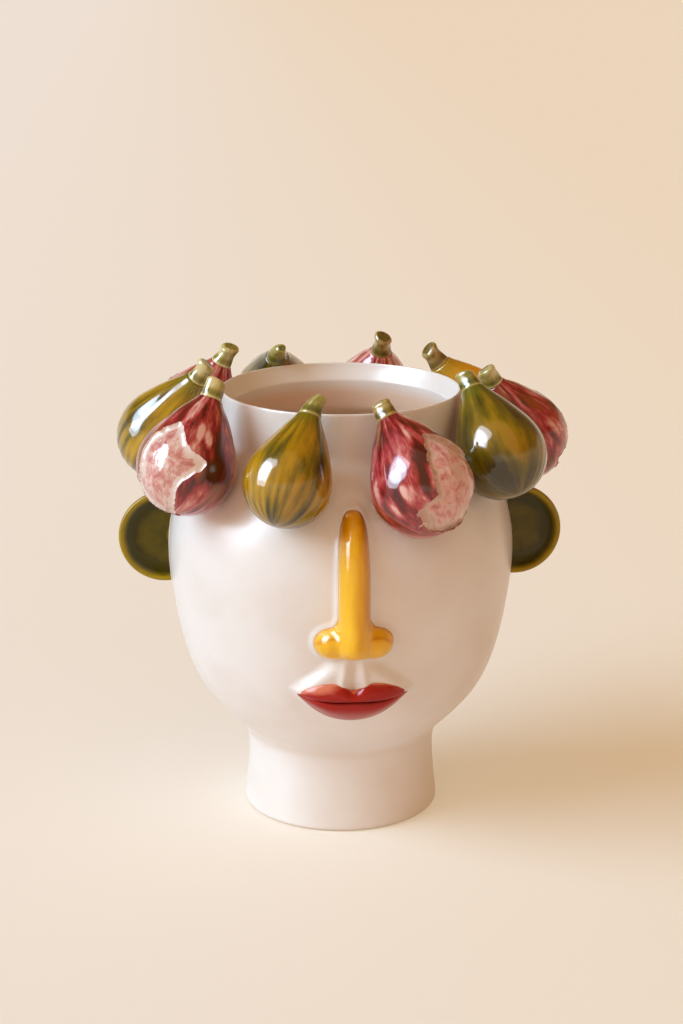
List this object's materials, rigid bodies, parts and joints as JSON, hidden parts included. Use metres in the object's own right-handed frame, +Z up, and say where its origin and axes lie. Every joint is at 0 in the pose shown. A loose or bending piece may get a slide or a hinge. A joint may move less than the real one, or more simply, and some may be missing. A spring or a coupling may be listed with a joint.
{
  "type": "face vase",
  "caption": "Round ceramic vase shaped as a stylised face, with a ring of modelled figs round its open collar.",
  "frame": {"origin": "middle of the foot's underside", "axes": "+Z up through the mouth, the face looks along -Y, +X is the viewer's right"},
  "size_m": [0.2125, 0.2154, 0.2196],
  "materials": {
    "white_glaze": "glossy white tin glaze",
    "yellow_glaze": "glossy yellow glaze",
    "lip_glaze": "glossy brick red glaze",
    "olive_glaze": "glossy olive glaze",
    "green_fig_glaze": "glossy streaked olive and ochre glaze",
    "red_fig_glaze": "glossy streaked crimson glaze with cream flesh",
    "stalk_glaze": "glossy pale yellow green glaze"
  },
  "bodies": {
    "root": {"head_shell": "white_glaze", "neck_foot": "white_glaze", "nose": "yellow_glaze", "upper_lip": "lip_glaze", "lower_lip": "lip_glaze", "ear_left": "olive_glaze", "ear_right": "olive_glaze", "fig_01": "red_fig_glaze", "stalk_01": "stalk_glaze", "fig_02": "green_fig_glaze", "stalk_02": "stalk_glaze", "fig_03": "red_fig_glaze", "stalk_03": "stalk_glaze", "fig_04": "green_fig_glaze", "stalk_04": "stalk_glaze", "fig_05": "red_fig_glaze", "stalk_05": "stalk_glaze", "fig_06": "green_fig_glaze", "stalk_06": "stalk_glaze", "fig_07": "red_fig_glaze", "stalk_07": "stalk_glaze", "fig_08": "green_fig_glaze", "stalk_08": "stalk_glaze", "fig_09": "red_fig_glaze", "stalk_09": "stalk_glaze", "fig_10": "green_fig_glaze", "stalk_10": "stalk_glaze"}
  },
  "joints": []
}
